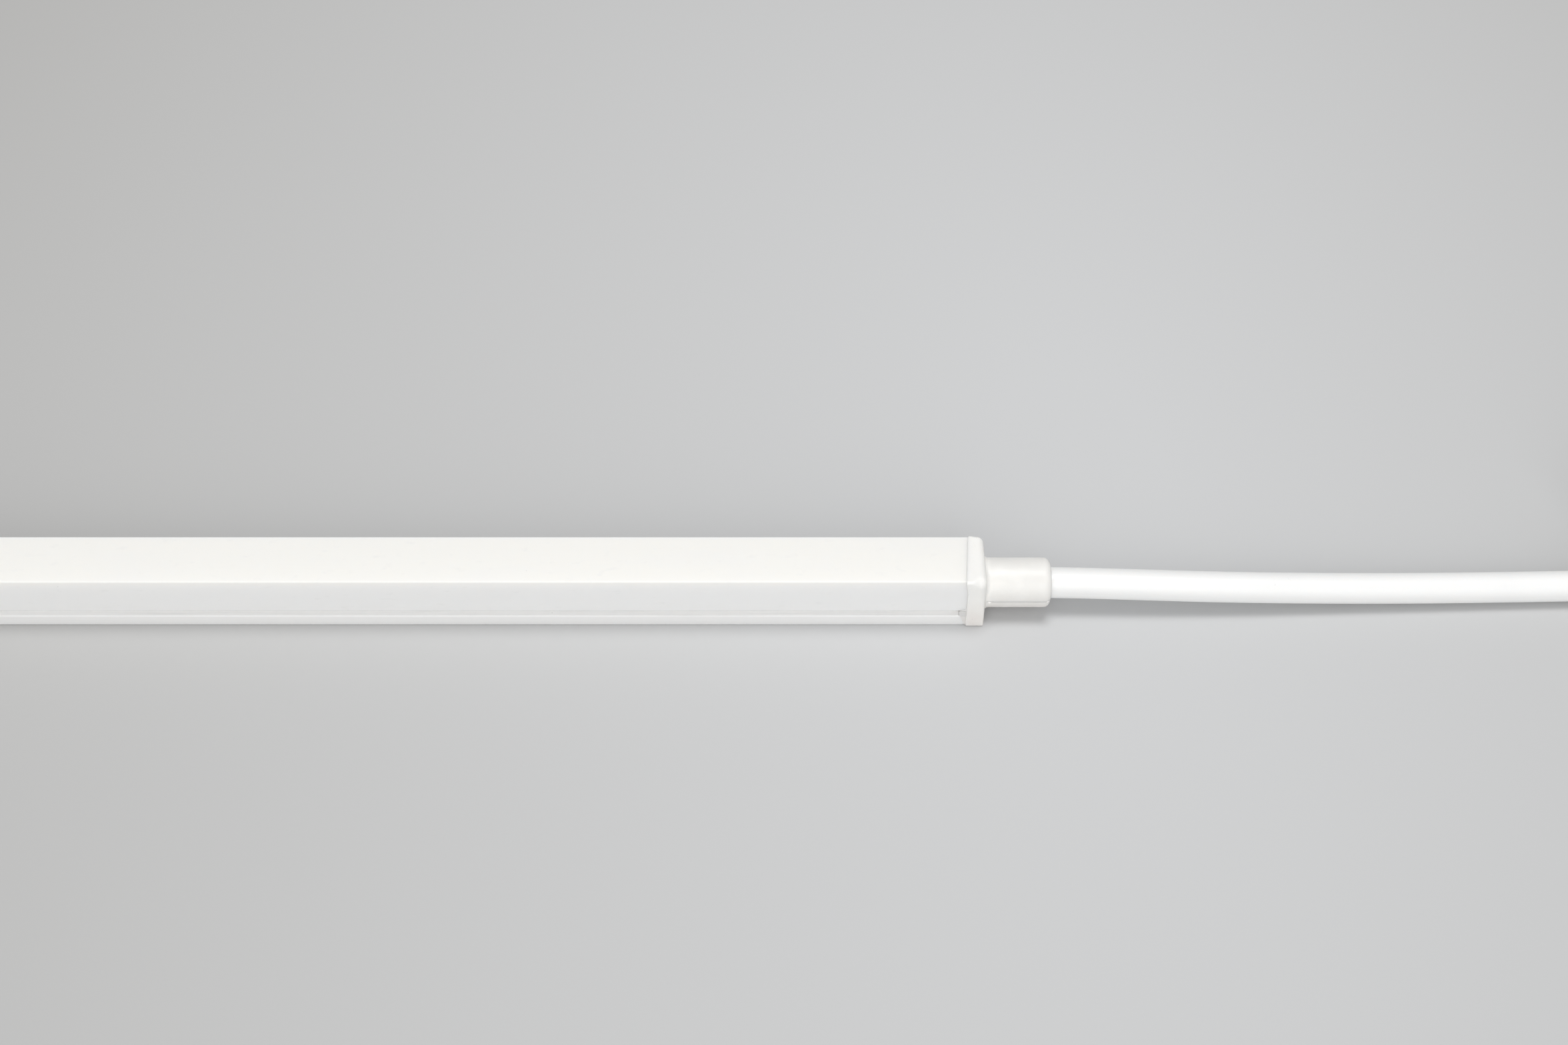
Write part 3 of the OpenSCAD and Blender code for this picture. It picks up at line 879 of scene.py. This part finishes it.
class LIGHT_TUBE_OT_profile(bpy.types.Operator):
    """Make the milky shell and the base strip of the tube"""
    bl_idname = "light_tube.profile"
    bl_label = "Silicone profile"

    def execute(self, context):
        edges = settings("profile")
        outer, wall = SHELL_HIGH.y, CHANNEL_HIGH.y
        low, top, roof = SHELL_LOW.z, SHELL_HIGH.z, CHANNEL_HIGH.z
        corners = [(-outer, low), (-outer, top), (outer, top), (outer, low),
                   (wall, low), (wall, roof), (-wall, roof), (-wall, low)]
        radii = [edges.small_edge, edges.top_edge, edges.top_edge, edges.small_edge]
        radii += [edges.inner_edge] * 4
        shell = profile_piece("milky_shell", corners, radii, 1.4 * MM)
        settle(shell, milky_silicone(), ("diffuser_shell",))
        outer, top = FLANGE_HIGH.y, FLANGE_HIGH.z
        corners = [(-outer, 0), (-outer, top), (outer, top), (outer, 0)]
        base = profile_piece("base_strip", corners, edges.small_edge, 0.9 * MM)
        settle(base, opaque_silicone(), ("base_flange",))
        return {"FINISHED"}


# ---------------------------------------------------------------- caps

# How far a cap stands above the tube, and how wide and deep the rim is that it ends in.
CAP_PROUD = 0.03 * MM
RIM_WIDTH = 0.32 * MM
RIM_STEP = 0.29 * MM
CORNER_POINTS = 14
SIDE_POINTS = 24


def cap_outline(caps, front, back, foot_inset=0, top_inset=0):
    """A cap's section: a block drawn in by an inset at its foot and its top, with upper
    corners of the two given radii and tight lower ones, less the inset. Each corner is an
    arc, with points along each side between them."""
    y0, y1, z0, z1 = FEED_LOW.y, FEED_HIGH.y, FEED_LOW.z, FEED_HIGH.z + CAP_PROUD
    corners = np.array([(y0, z0), (y0, z1), (y1, z1), (y1, z0)])
    inside = np.array([(1, 1), (1, -1), (-1, -1), (-1, 1)])
    inset = np.array([foot_inset, top_inset, top_inset, foot_inset])
    radii = np.array([caps.foot_edge, front, back, caps.foot_edge]) - inset
    arcs = rounded_outline(corners + inside * inset[:, None],
                           np.maximum(radii, 0.02 * MM), CORNER_POINTS)
    arcs = arcs.reshape(4, CORNER_POINTS, 2)
    share = np.linspace(0, 1, SIDE_POINTS + 2)[1:-1, None]
    last, following = arcs[:, -1:], np.roll(arcs, -1, 0)[:, :1]
    sides = last * (1 - share) + following * share
    return np.concatenate([arcs, sides], 1).reshape(-1, 2)


def cap_joint(outline, seed):
    """Where a cap's rim starts along X, in two lines: its thin creeping edge and its
    shoulder. Both slant across the top, fall back down the sides and run straight across
    the underside. The edge also runs back over the clip grooves and, less and less, over
    the base below them."""
    y, z = outline.T / MM
    side = ease(5.9, 6.2, np.abs(y))
    slant = 1.1 * (y - y.min()) / (y.max() - y.min())
    down = np.where(y < 0, 0.52, -0.5) * side * ease(12.6, 9.5, z)
    under = ease(1.0, 0.2, z)
    shoulder = (slant + down) * (1 - under) + 0.56 * under
    shoulder += 0.05 * ripple(z, seed, low=0.8, high=2.5) * side
    creep = side * (1.3 * ease(4.9, 4.2, z) - 0.95 * ease(4.1, 0.2, z))
    creep *= 1 + 0.12 * ripple(z, seed + 1, low=2, high=7)
    return (shoulder - creep) * MM, shoulder * MM, side


def cap_block(caps, seed):
    """Rings of a cap from the joint to its end face, at x = 0 to length. The rim rises
    from a thin edge to a rounded shoulder, and the section's upper corners grow from the
    tube's to the cap's own. The end face's edge is an arc whose radius goes from tight at
    the base to wide at the top."""
    length = SHELL_LOW.x - BLANK_LOW.x
    outline = cap_outline(caps, caps.joint_edge, caps.joint_edge)
    wide = cap_outline(caps, caps.front_edge, caps.back_edge)
    edge_x, shoulder_x, side = cap_joint(outline, seed)
    web = RIM_STEP * side
    edge = caps.face_foot_edge + (caps.face_edge - caps.face_foot_edge) * ease(
        3 * MM, 10 * MM, outline[:, 1])
    rim = [(edge_x + 0.4 * MM, 0.7 * MM), (edge_x, 0.43 * MM * side + 0.02 * MM),
           (edge_x + 0.03 * MM, web), (shoulder_x + 0.05 * MM, web),
           (shoulder_x + 0.13 * MM, 0.3 * web), (shoulder_x + RIM_WIDTH, 0)]
    rings = [(x, outline + inward(outline) * np.broadcast_to(inset, x.shape)[:, None])
             for x, inset in rim]
    for share in np.linspace(0.15, 1, 7):
        start, end = shoulder_x + RIM_WIDTH, length - edge
        x = start + (end - start) * share
        grown = ease(1.2 * MM, 3.0 * MM, x)[:, None]
        rings.append((x, outline * (1 - grown) + wide * grown))
    for turn in np.linspace(0, math.pi / 2, 10)[1:]:
        drawn = 1 - math.cos(turn)
        rings.append((length - edge + edge * math.sin(turn), cap_outline(
            caps, caps.front_edge, caps.back_edge, caps.face_foot_edge * drawn,
            caps.face_edge * drawn)))
    return np.stack([np.column_stack(ring) for ring in rings])


def boot_rings(caps, face):
    """Rings from the end face's inner edge to the boot's mouth: flat, round the hollow
    fillet, along the boot, over its far edge and into the hole that holds the lead. The
    boot's lower half is a little smaller, with a step at the mould's joint."""
    centre = np.array([0, BOOT_AXIS])
    ray = face[:, 1:] - centre
    far = np.linalg.norm(ray, axis=1)
    ray /= far[:, None]
    start = face[:, 0]
    lower = ease(-0.03, -0.065, ray[:, 1])
    radius, edge = caps.boot_radius - 0.09 * MM * lower, caps.boot_edge
    fillet = np.minimum(caps.fillet, 0.85 * (far - radius))
    rings = [(start, (far + radius + fillet) / 2)]
    for turn in np.linspace(0, math.pi / 2, 8):
        rings.append((start + fillet * (1 - math.cos(turn)),
                      radius + fillet * (1 - math.sin(turn))))
    for share in np.linspace(0, 1, 10)[1:]:
        x = start + fillet + share * (BOOT_LENGTH - edge - fillet)
        rings.append((x, radius))
    for turn in np.linspace(0, math.pi / 2, 9)[1:]:
        rings.append((start + BOOT_LENGTH - edge + edge * math.sin(turn),
                      radius - edge * (1 - math.cos(turn))))
    mouth = settings("lead").diameter / 2
    for back, wider in ((0, 0.25), (0.12, 0.1), (0.5, 0.02), (3.0, 0.02)):
        rings.append((start + BOOT_LENGTH - back * MM, mouth + wider * MM))
    x, r = (np.stack([np.broadcast_to(ring[k], far.shape) for ring in rings])
            for k in (0, 1))
    return np.concatenate([x[..., None], centre + ray[None] * r[..., None]], -1)


def at_feed_end(grid):
    """Moves a grid whose x starts at the joint to the tube's end with the lead."""
    return np.concatenate([SHELL_HIGH.x + grid[..., :1], grid[..., 1:]], -1)


def at_blank_end(grid):
    """Moves a grid whose x starts at the joint to the tube's closed end, turned round."""
    return np.concatenate([SHELL_LOW.x - grid[..., :1], grid[..., 1:]], -1)


def groove_key(side, seed):
    """The cap's silicone that has run into a clip groove: a short lens-ended plug whose
    surface wanders a little."""
    low, high = FLANGE_HIGH.z, SHELL_LOW.z
    y0, y1 = CHANNEL_HIGH.y - 0.05 * MM, SHELL_HIGH.y + 0.22 * MM
    corners = [(y0, low), (y0, high), (y1, high), (y1, low)]
    outline = evenly(rounded_outline(corners, 0.2 * MM, 5), 64)
    outline[:, 0] *= side
    x = np.array([-0.82, -0.815, -0.79, -0.74, -0.5, 0.1, 0.6]) * MM
    inset = np.array([0.3, 0.15, 0.05, 0.0, 0.0, 0.0, 0.0]) * MM
    grid = extruded(outline, x, inset)
    turn = np.arctan2(outline[:, 1] - outline[:, 1].mean(), outline[:, 0])
    wander = ripple(turn * 3, seed)
    grid[..., 0] += 0.15 * MM * wander[None] * ease(0, -0.6 * MM, x)[:, None]
    return grid


def flash_fin(side, seed):
    """The thin flash that the mould's joint leaves beside the boot: a lens section whose
    height wanders, with a torn tag at each end."""
    start, end = BOOT_FACE + 0.5 * MM, FEED_HIGH.x - 0.35 * MM
    x = np.linspace(start, end, 140)
    along = (x - start) / (end - start)
    tags = 0.42 * np.exp(-((along - 0.035) / 0.03) ** 2) + 0.3 * np.exp(
        -((along - 0.975) / 0.02) ** 2)
    height = (0.03 * ripple(along * 30, seed) + tags - 0.06) * MM
    height *= ease(0, 0.015, along) * ease(1, 0.985, along)
    radius, edge = settings("caps").boot_radius, settings("caps").boot_edge
    sink = np.clip((x - (FEED_HIGH.x - edge)) / edge, 0, 1)
    rim = radius - edge * (1 - np.sqrt(1 - sink ** 2))
    turn = np.linspace(0, 2 * np.pi, 12, endpoint=False)
    thick = 0.1 * MM * (1 + 0.3 * ripple(along * 14, seed + 1))
    root = 0.25 * MM
    y = rim[:, None] - root + (root + height)[:, None] * np.cos(turn)
    z = BOOT_AXIS - 0.2 * MM + thick[:, None] * np.sin(turn) + 0.06 * MM * ripple(
        along * 6, seed + 2)[:, None]
    return np.stack([np.broadcast_to(x[:, None], y.shape), side * y, z], -1)


class LIGHT_TUBE_OT_feed_cap(bpy.types.Operator):
    """Make the moulded cap with its boot, keys and mould flash"""
    bl_idname = "light_tube.feed_cap"
    bl_label = "Feed cap"

    def execute(self, context):
        caps = settings("caps")
        block = at_feed_end(cap_block(caps, 3))
        shells = Shells().add(np.concatenate([block, boot_rings(caps, block[-1])]))
        for side, seed in ((-1, 5), (1, 8)):
            shells.add(at_feed_end(groove_key(side, seed)))
            shells.add(flash_fin(side, seed + 20))
        piece = shells.piece("feed_cap_and_boot")
        settle(piece, cap_silicone(), ("feed_cap",))
        return {"FINISHED"}


class LIGHT_TUBE_OT_blank_cap(bpy.types.Operator):
    """Make the closed cap on the far end, with the round mark of its mould's gate"""
    bl_idname = "light_tube.blank_cap"
    bl_label = "Blank cap"

    def execute(self, context):
        caps = settings("caps")
        block = cap_block(caps, 13)
        centre = np.array([0, SHELL_HIGH.z / 2])
        face = block[-1]
        ray = face[:, 1:] - centre
        unit = ray / np.linalg.norm(ray, axis=1)[:, None]
        radius = np.array([2.6, 1.5, 1.0, 0.9, 0.7, 0.35, 0.0]) * MM
        dip = np.array([0, 0, 0, 0.04, 0.11, 0.13, 0.13]) * MM
        inner = np.stack([np.column_stack([face[:, 0], centre + ray * 0.7])] + [
            np.column_stack([face[:, 0] - d, centre + unit * r])
            for r, d in zip(radius, dip)])
        shells = Shells().add(at_blank_end(np.concatenate([block, inner])))
        for side, seed in ((-1, 15), (1, 18)):
            shells.add(at_blank_end(groove_key(side, seed)))
        piece = shells.piece("blank_end_cap")
        settle(piece, cap_silicone(), ("blank_cap",))
        return {"FINISHED"}


# ---------------------------------------------------------------- connector

class LIGHT_TUBE_OT_connector(bpy.types.Operator):
    """Make the connector's grip, strain relief, insulator, pins and sealing ring"""
    bl_idname = "light_tube.connector"
    bl_label = "Connector"

    def execute(self, context):
        plastic = moulded_plastic("connector_plastic", settings("connector").colour)
        self.grip(plastic)
        self.relief(plastic)
        self.insulator()
        self.pins()
        self.ring()
        return {"FINISHED"}

    def grip(self, plastic):
        """A turned shell: pin socket, shroud, seal groove, collar, neck and ribbed grip."""
        x0, x1 = GRIP_LOW.x, GRIP_HIGH.x
        grip_x = NUT_HIGH.x + 0.3 * MM
        bore = (INSERT_HIGH.y - INSERT_LOW.y) / 2
        grip_r = (GRIP_HIGH.y - GRIP_LOW.y) / 2
        neck_r, collar_r, seat_r = 5.1 * MM, 6.3 * MM, 4.6 * MM
        collar_x = INSERT_HIGH.x
        lip, groove, stop = 0.25 * MM, 0.5 * MM, 0.4 * MM
        front, back, rib = 0.8 * MM, 1.2 * MM, 0.5 * MM
        ring_x0, ring_x1 = RING_LOW.x, RING_HIGH.x
        profile = np.vstack([
            [(collar_x, 0), (collar_x, bore), (x0 + lip, bore)],
            arc(x0 + lip, bore + lip, lip, 270, 180, 5),
            arc(x0 + lip, neck_r - lip, lip, 180, 90, 5),
            [(ring_x0, neck_r), (ring_x0, neck_r - groove),
             (ring_x1, neck_r - groove), (ring_x1, neck_r + stop)],
            arc(ring_x1 + lip, collar_r - lip, lip, 180, 90, 5),
            arc(collar_x - lip, collar_r - lip, lip, 90, 0, 5),
            [(collar_x, neck_r), (grip_x, neck_r), (grip_x, grip_r - front)],
            arc(grip_x + front, grip_r - front, front, 180, 90, 7)[1:],
            [(x, grip_r) for x in np.linspace(grip_x + 1.0 * MM, x1 - 1.4 * MM, 40)],
            arc(x1 - back, grip_r - back, back, 90, 0, 8),
            [(x1, seat_r), (x1, 0)]])
        ribs = settings("connector").grip_ribs

        def depth(x, angle):
            zone = ease(grip_x + 2.2 * MM, grip_x + 3.4 * MM, x) * ease(
                x1 - 2.4 * MM, x1 - 3.6 * MM, x) * (x > grip_x)
            wave = 0.5 + 0.5 * np.cos(angle * ribs)
            return rib * zone * ease(0.25, 0.75, wave)

        grid = turned(profile, NUT_AXIS, 144, depth)
        piece = Shells().add(grid).piece("connector_grip", CRISP_ANGLE)
        settle(piece, plastic, ("connector_body",))

    def relief(self, plastic):
        """A tapered sleeve cut by rings of short slots, each ring turned a quarter."""
        x0, x1 = RELIEF_LOW.x, RELIEF_HIGH.x
        r0, r1 = 5.5 * MM, 4.3 * MM
        lead = settings("lead").diameter / 2
        edge, socket, slot = 0.6 * MM, 3 * MM, 1.1 * MM
        x = np.linspace(x0, x1 - edge, 150)
        r = r0 + (r1 - r0) * (x - x0) / (x1 - x0)
        foot = [(x0, 0), (x0, r0 - 0.1 * MM)]
        profile = np.vstack([
            foot, np.column_stack([x, r]), arc(x1 - edge, r[-1] - edge, edge, 80, 0, 6),
            [(x1, lead + 0.12 * MM), (x1 - 0.3 * MM, lead + 0.02 * MM),
             (x1 - socket, lead), (x1 - socket, 0)]])
        slots = 3
        pitch = (x1 - x0) / (slots + 1)

        def depth(x, angle):
            cut = np.zeros(np.broadcast(x, angle).shape)
            for i in range(slots):
                middle = x0 + (i + 1) * pitch
                band = ease(0.75 * MM, 0.45 * MM, np.abs(x - middle))
                bridge = np.abs(np.cos(angle + i * math.pi / 2))
                cut = np.maximum(cut, band * ease(0.97, 0.9, bridge))
            return slot * cut

        rows = slice(len(foot), len(foot) + len(x))
        grid = turned(profile, NUT_AXIS, 128, depth, rows)
        piece = Shells().add(grid).piece("connector_strain_relief", CRISP_ANGLE)
        settle(piece, plastic, ("connector_relief",))

    def insulator(self):
        """A turned disc with a shallow dished face and a key slot at the top."""
        x0, x1 = INSERT_LOW.x, INSERT_HIGH.x
        r = (INSERT_HIGH.y - INSERT_LOW.y) / 2 - 0.02 * MM
        dish, edge, key = 0.35 * MM, 0.2 * MM, 0.9 * MM
        face = [(x0 + dish, 0), (x0 + dish, 0.6 * r), (x0, 0.72 * r)]
        rim = arc(x0 + edge, r - edge, edge, 180, 90, 4)
        profile = np.vstack([face, rim, [(x1, r), (x1, 0)]])

        def depth(x, angle):
            return key * np.exp(-(np.sin((angle - np.pi / 2) / 2) / 0.09) ** 2) * (
                x < x0 + 2 * MM) * (x > x0 + 0.1 * MM)

        rows = slice(len(face), len(face) + len(rim))
        grid = turned(profile, NUT_AXIS, depth=depth, rows=rows)
        piece = Shells().add(grid).piece("connector_insulator", CRISP_ANGLE)
        black = moulded_plastic("insert_plastic", (0.035, 0.035, 0.038), 0.42)
        settle(piece, black, ("connector_insert",))

    def pins(self):
        """Two turned pins with domed tips and a shoulder where they leave the insulator."""
        radius = (PINS_HIGH.z - PINS_LOW.z) / 2
        spread = (PINS_HIGH.y - PINS_LOW.y) / 2 - radius
        x0, x1 = PINS_LOW.x, PINS_HIGH.x
        profile = np.vstack([
            arc(x0 + radius, 0, radius, 180, 90, 8),
            [(INSERT_LOW.x - 0.1 * MM, radius), (INSERT_LOW.x, radius * 1.15),
             (INSERT_LOW.x + 0.8 * MM, radius * 1.15), (x1, radius), (x1, 0)]])
        shells = Shells()
        for side in (-1, 1):
            axis = (NUT_AXIS[0] + side * spread, NUT_AXIS[1])
            shells.add(turned(profile, axis, 32))
        piece = shells.piece("connector_pins")
        gold = metal("pin_gold", (0.83, 0.62, 0.28), 0.25)
        settle(piece, gold, ("contact_pins",))

    def ring(self):
        """A round-section ring stretched into its groove."""
        x = (RING_LOW.x + RING_HIGH.x) / 2
        radius = (RING_HIGH.x - RING_LOW.x) / 2
        middle = (RING_HIGH.y - RING_LOW.y) / 2 - radius
        grid = turned(arc(x, middle, radius * 0.98, 0, 345, 24), NUT_AXIS)
        piece = Shells().add(grid, closed=True).piece("connector_ring")
        rubber = moulded_plastic("seal_rubber", (0.62, 0.16, 0.04), 0.45, 2400)
        settle(piece, rubber, ("connector_seal",))


class LIGHT_TUBE_OT_nut(bpy.types.Operator):
    """Make the ribbed coupling nut with the thread in its mouth"""
    bl_idname = "light_tube.nut"
    bl_label = "Coupling nut"

    def execute(self, context):
        sizes = settings("connector")
        x0, x1 = NUT_LOW.x, NUT_HIGH.x
        outer = (NUT_HIGH.y - NUT_LOW.y) / 2
        bore, lip_bore, lip = 6.6 * MM, 5.4 * MM, 2.0 * MM
        edge, bevel, lead_in = 0.6 * MM, 0.2 * MM, 0.5 * MM
        rib_depth, thread_depth = 0.62 * MM, 0.42 * MM
        outer_line = np.vstack([
            arc(x0 + edge, outer - edge, edge, 180, 90, 7),
            [(x, outer) for x in np.linspace(x0 + edge, x1 - edge, 48)[1:-1]],
            arc(x1 - edge, outer - edge, edge, 90, 0, 7)])
        lip_line = [(x1, lip_bore + bevel), (x1 - bevel, lip_bore), (x1 - lip, lip_bore),
                    (x1 - lip, bore)]
        bore_line = [(x, bore) for x in np.linspace(x1 - lip - lead_in, x0 + lead_in, 90)]
        profile = np.vstack([outer_line, lip_line, bore_line, [(x0, bore + lead_in)]])
        row = np.arange(len(profile))[:, None]
        outside, inside = row < len(outer_line), row >= len(outer_line) + len(lip_line)

        def depth(x, angle):
            zone = ease(x0 + 1.4 * MM, x0 + 2.4 * MM, x) * ease(
                x1 - 1.2 * MM, x1 - 2.2 * MM, x)
            wave = 0.5 + 0.5 * np.cos(angle * sizes.nut_ribs)
            ribs = rib_depth * zone * ease(0.35, 0.9, wave)
            turn = (x - x0) / sizes.thread_pitch - angle / (2 * np.pi)
            tooth = np.abs((turn % 1) - 0.5) * 2
            screw = thread_depth * ease(0.35, 0.75, tooth) * ease(
                x0 + 0.6 * MM, x0 + 1.6 * MM, x) * ease(x0 + 8.2 * MM, x0 + 7.2 * MM, x)
            return ribs * outside + screw * inside

        grid = turned(profile, NUT_AXIS, 216, depth)
        piece = Shells().add(grid, closed=True).piece("connector_nut", CRISP_ANGLE)
        plastic = moulded_plastic("connector_plastic", sizes.colour)
        settle(piece, plastic, ("coupling_nut",), NUT_BODY)
        return {"FINISHED"}


# ---------------------------------------------------------------- inner pieces

class LIGHT_TUBE_OT_inside(bpy.types.Operator):
    """Give the channel, the light strip, the seals and the cores their materials"""
    bl_idname = "light_tube.inside"
    bl_label = "Inner pieces"

    def execute(self, context):
        finishes = {
            "inner_channel": opaque_silicone(),
            "led_board": board_mask(),
            "board_tape": carrier_tape(),
            "led_packages": moulded_plastic("package_plastic", (0.86, 0.86, 0.82), 0.3),
            "led_phosphors": phosphor_gel(),
            "resistors": moulded_plastic("resistor_black", (0.03, 0.03, 0.03), 0.4),
            "solder_pads": metal("tinned_copper", (0.78, 0.45, 0.25), 0.3),
            "core_strands": metal("copper_strands", (0.85, 0.45, 0.28), 0.32),
            "solder_joints": metal("bright_solder", (0.72, 0.72, 0.74), 0.22),
            "feed_sealant": sealant(),
            "blank_sealant": sealant(),
            "core_positive": moulded_plastic("red_core", (0.55, 0.02, 0.02), 0.32),
            "core_negative": moulded_plastic("black_core", (0.02, 0.02, 0.02), 0.32),
            "lead_inlet": jacket_silicone(),
        }
        for node, material in finishes.items():
            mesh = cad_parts[node].data
            mesh.materials.clear()
            mesh.materials.append(material)
        return {"FINISHED"}


# ---------------------------------------------------------------- panel and registration

class LIGHT_TUBE_PT_panel(bpy.types.Panel):
    """Lists the tube's operators and sizes"""
    bl_idname = "LIGHT_TUBE_PT_panel"
    bl_label = "Light Tube"
    bl_space_type = "VIEW_3D"
    bl_region_type = "UI"
    bl_category = "Light Tube"

    def draw(self, context):
        for operator in OPERATORS:
            self.layout.operator(operator.bl_idname)
        for name, group in GROUPS.items():
            box = self.layout.box()
            box.label(text=group.__doc__)
            for key in group.__annotations__:
                box.prop(settings(name), key)


GROUPS = {
    "profile": LightTubeProfile,
    "caps": LightTubeCaps,
    "lead": LightTubeLead,
    "connector": LightTubeConnector,
    "stage": LightTubeStage,
}
OPERATORS = (
    LIGHT_TUBE_OT_stage,
    LIGHT_TUBE_OT_lead,
    LIGHT_TUBE_OT_cable_tie,
    LIGHT_TUBE_OT_connector,
    LIGHT_TUBE_OT_nut,
    LIGHT_TUBE_OT_profile,
    LIGHT_TUBE_OT_feed_cap,
    LIGHT_TUBE_OT_blank_cap,
    LIGHT_TUBE_OT_inside,
)


def register():
    for group in GROUPS.values():
        bpy.utils.register_class(group)
    for operator in OPERATORS:
        bpy.utils.register_class(operator)
    bpy.utils.register_class(LIGHT_TUBE_PT_panel)
    for name, group in GROUPS.items():
        pointer = bpy.props.PointerProperty(type=group)
        setattr(bpy.types.Scene, "light_tube_" + name, pointer)


def unregister():
    for name in GROUPS:
        delattr(bpy.types.Scene, "light_tube_" + name)
    bpy.utils.unregister_class(LIGHT_TUBE_PT_panel)
    for item in (*OPERATORS, *GROUPS.values()):
        bpy.utils.unregister_class(item)


def main():
    """Registers the add-on and makes everything in order."""
    register()
    for operator in OPERATORS:
        group, name = operator.bl_idname.split(".")
        getattr(getattr(bpy.ops, group), name)()
    declare_lead()


if __name__ == "__main__":
    main()
